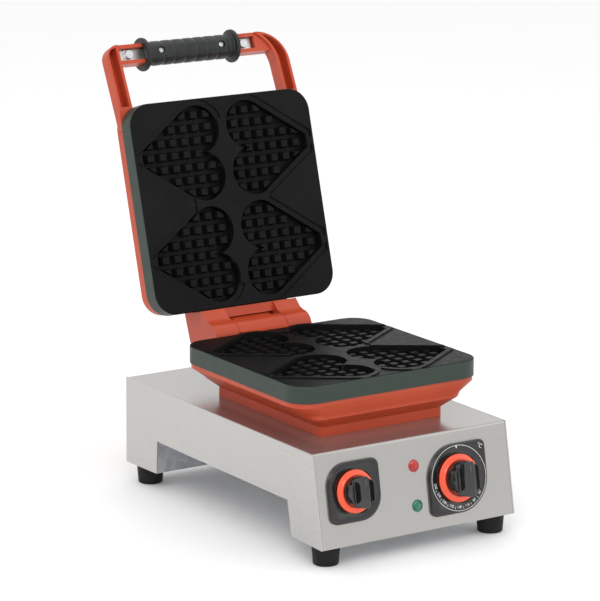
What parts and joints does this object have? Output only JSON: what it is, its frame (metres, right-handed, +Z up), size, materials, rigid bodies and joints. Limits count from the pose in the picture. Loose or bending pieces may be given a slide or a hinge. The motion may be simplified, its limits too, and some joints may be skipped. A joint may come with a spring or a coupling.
{
  "type": "waffle maker",
  "caption": "Counter-top waffle maker with a sheet-steel base, heart moulds in a fixed and a hinged plate, a bow handle, a thermostat dial, a switch and pilot lamps.",
  "frame": {"origin": "on the floor plane under the middle of the whole machine with its lid open", "axes": "+X to the right seen from the front, +Y from the controls to the back, +Z up"},
  "size_m": [0.26, 0.5191, 0.5171],
  "materials": {
    "stainless_wrap": "brushed",
    "stainless_sides": "brushed",
    "galvanised_sheet": "dull zinc-coated sheet",
    "black_rubber": "matte",
    "orange_paint": "satin stove enamel on a casting",
    "seasoned_plate": "dark non-stick coat",
    "zinc_fasteners": "zinc plated",
    "bright_steel": "plain bright steel",
    "copper_brass": "plain",
    "mineral_wool": "loose fibre mat",
    "grip_plastic": "heat-proof moulding",
    "bezel_plastic": "moulded, with a printed scale",
    "ring_plastic": "moulded",
    "knob_plastic": "moulded",
    "control_plastic": "moulded",
    "gland_plastic": "moulded",
    "red_lens": "faceted jewel lens",
    "green_lens": "faceted jewel lens"
  },
  "bodies": {
    "base": {"base_wrap": "stainless_wrap", "belly_cover": "galvanised_sheet", "belly_cover_screws": "zinc_fasteners", "casting_bolts": "zinc_fasteners", "earth_stud": "copper_brass", "foot_front_left": "black_rubber", "foot_front_right": "black_rubber", "foot_rear_left": "black_rubber", "foot_rear_right": "black_rubber", "foot_screws": "zinc_fasteners", "front_cross_panel": "galvanised_sheet", "green_lamp_lens": "green_lens", "hinge_bracket": "orange_paint", "lamp_bodies": "control_plastic", "lid_supply_gland": "gland_plastic", "lower_casting": "orange_paint", "lower_heat_shield": "galvanised_sheet", "lower_heater": "bright_steel", "lower_insulation": "mineral_wool", "lower_plate": "seasoned_plate", "lower_plate_bolts": "zinc_fasteners", "mains_gland": "gland_plastic", "rear_cross_panel": "galvanised_sheet", "red_lamp_lens": "red_lens", "rotary_switch": "control_plastic", "side_panel_left": "stainless_sides", "side_panel_right": "stainless_sides", "switch_bezel": "bezel_plastic", "terminal_block": "control_plastic", "terminal_shelf": "galvanised_sheet", "thermostat": "control_plastic", "thermostat_bezel": "bezel_plastic", "thermostat_bulb": "copper_brass"},
    "lid": {"lid_casting": "orange_paint", "lid_hinge": "orange_paint", "handle_arm_left": "orange_paint", "handle_arm_right": "orange_paint", "lid_cover": "orange_paint", "lid_cover_screws": "zinc_fasteners", "upper_plate": "seasoned_plate", "upper_plate_bolts": "zinc_fasteners", "upper_heater": "bright_steel", "upper_heat_shield": "galvanised_sheet", "upper_insulation": "mineral_wool", "lid_gland": "gland_plastic", "hinge_pin": "bright_steel", "hinge_grub_screws": "zinc_fasteners", "handle_strap": "bright_steel", "handle_strap_bolts": "zinc_fasteners", "handle_strap_nuts": "zinc_fasteners", "grip_front": "grip_plastic", "grip_rear": "grip_plastic", "grip_screws": "zinc_fasteners"},
    "thermostat_dial": {"thermostat_knob": "knob_plastic", "thermostat_knob_ring": "ring_plastic", "thermostat_shaft": "bright_steel"},
    "switch_dial": {"switch_knob": "knob_plastic", "switch_knob_ring": "ring_plastic", "switch_shaft": "bright_steel"}
  },
  "joints": [
    {"name": "lid_hinge", "type": "hinge", "parent": "base", "child": "lid", "pos_m": [0, 0.098, 0.1817], "axis": [1, 0, 0], "range_deg": [0, 105.6]},
    {"name": "thermostat_turn", "type": "hinge", "parent": "base", "child": "thermostat_dial", "pos_m": [0.056, -0.22765, 0.07317], "axis": [0, -0.9837, 0.1797], "range_deg": [-270, 0]},
    {"name": "switch_turn", "type": "hinge", "parent": "base", "child": "switch_dial", "pos_m": [-0.082, -0.22645, 0.07977], "axis": [0, -0.9837, 0.1797], "range_deg": [-90, 0]}
  ]
}
